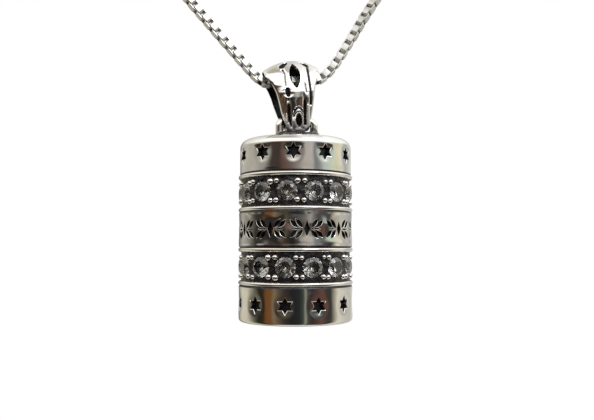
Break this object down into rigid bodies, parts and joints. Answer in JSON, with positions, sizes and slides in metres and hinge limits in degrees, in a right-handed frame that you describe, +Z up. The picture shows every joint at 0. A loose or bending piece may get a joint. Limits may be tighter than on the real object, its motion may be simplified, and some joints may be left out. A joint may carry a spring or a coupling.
{
  "type": "mezuzah case",
  "caption": "Round silver mezuzah case worn as a pendant, with star-marked caps, set stones, a leaf frieze, a pull-off base over a rolled scroll, a relief bail and a box chain.",
  "frame": {"origin": "hang point: the place on the chain's centreline, inside the bail, straight above the axis of the case", "axes": "+Z up along the axis of the case, -Y the front of the pendant, +X to the right"},
  "size_m": [0.0328, 0.0121, 0.0436],
  "materials": {
    "polished_silver": "polished",
    "cast_silver": "polished",
    "blackened_silver": "satin",
    "chain_silver": "polished",
    "zirconia": "polished",
    "parchment": "matte"
  },
  "bodies": {
    "necklace": {"chain": "chain_silver", "left_end_cap": "chain_silver", "left_jump_ring": "chain_silver", "clasp_body": "chain_silver", "clasp_spring": "blackened_silver", "right_end_cap": "chain_silver", "right_end_ring": "chain_silver"},
    "bail_body": {"bail": "cast_silver"},
    "case_body": {"top_cap": "polished_silver", "hanging_loop": "polished_silver", "core_tube": "polished_silver", "upper_setting_ring": "blackened_silver", "upper_top_rail": "polished_silver", "upper_bottom_rail": "polished_silver", "upper_stones": "zirconia", "centre_band": "cast_silver", "lower_setting_ring": "blackened_silver", "lower_top_rail": "polished_silver", "lower_bottom_rail": "polished_silver", "lower_stones": "zirconia"},
    "cap_body": {"bottom_cap": "polished_silver"},
    "scroll_body": {"scroll": "parchment"},
    "bolt_body": {"clasp_bolt": "chain_silver"}
  },
  "joints": [
    {"name": "bail_swing", "type": "hinge", "parent": "necklace", "child": "bail_body", "pos_m": [0, 0, 0], "axis": [0.9962, 0, 0.0872], "range_deg": [-75, 75]},
    {"name": "case_swing", "type": "hinge", "parent": "bail_body", "child": "case_body", "pos_m": [0, 0, -0.00435], "axis": [1, 0, 0], "range_deg": [-45, 45]},
    {"name": "cap_pull", "type": "slide", "parent": "case_body", "child": "cap_body", "axis": [0, 0, -1], "range_m": [0, 0.028]},
    {"name": "scroll_slide", "type": "slide", "parent": "case_body", "child": "scroll_body", "axis": [0, 0, -1], "range_m": [0, 0.0168]},
    {"name": "bolt_slide", "type": "hinge", "parent": "necklace", "child": "bolt_body", "pos_m": [-0.01748, 0, 0.01516], "axis": [0, -1, 0], "range_deg": [0, 40], "stiffness_Nm_per_rad": 0.0005, "springref_deg": -11.46, "deforming": ["clasp_spring"]}
  ],
  "couplings": [
    {"joint": "scroll_slide", "follows": "cap_pull", "ratio": 0.6}
  ]
}
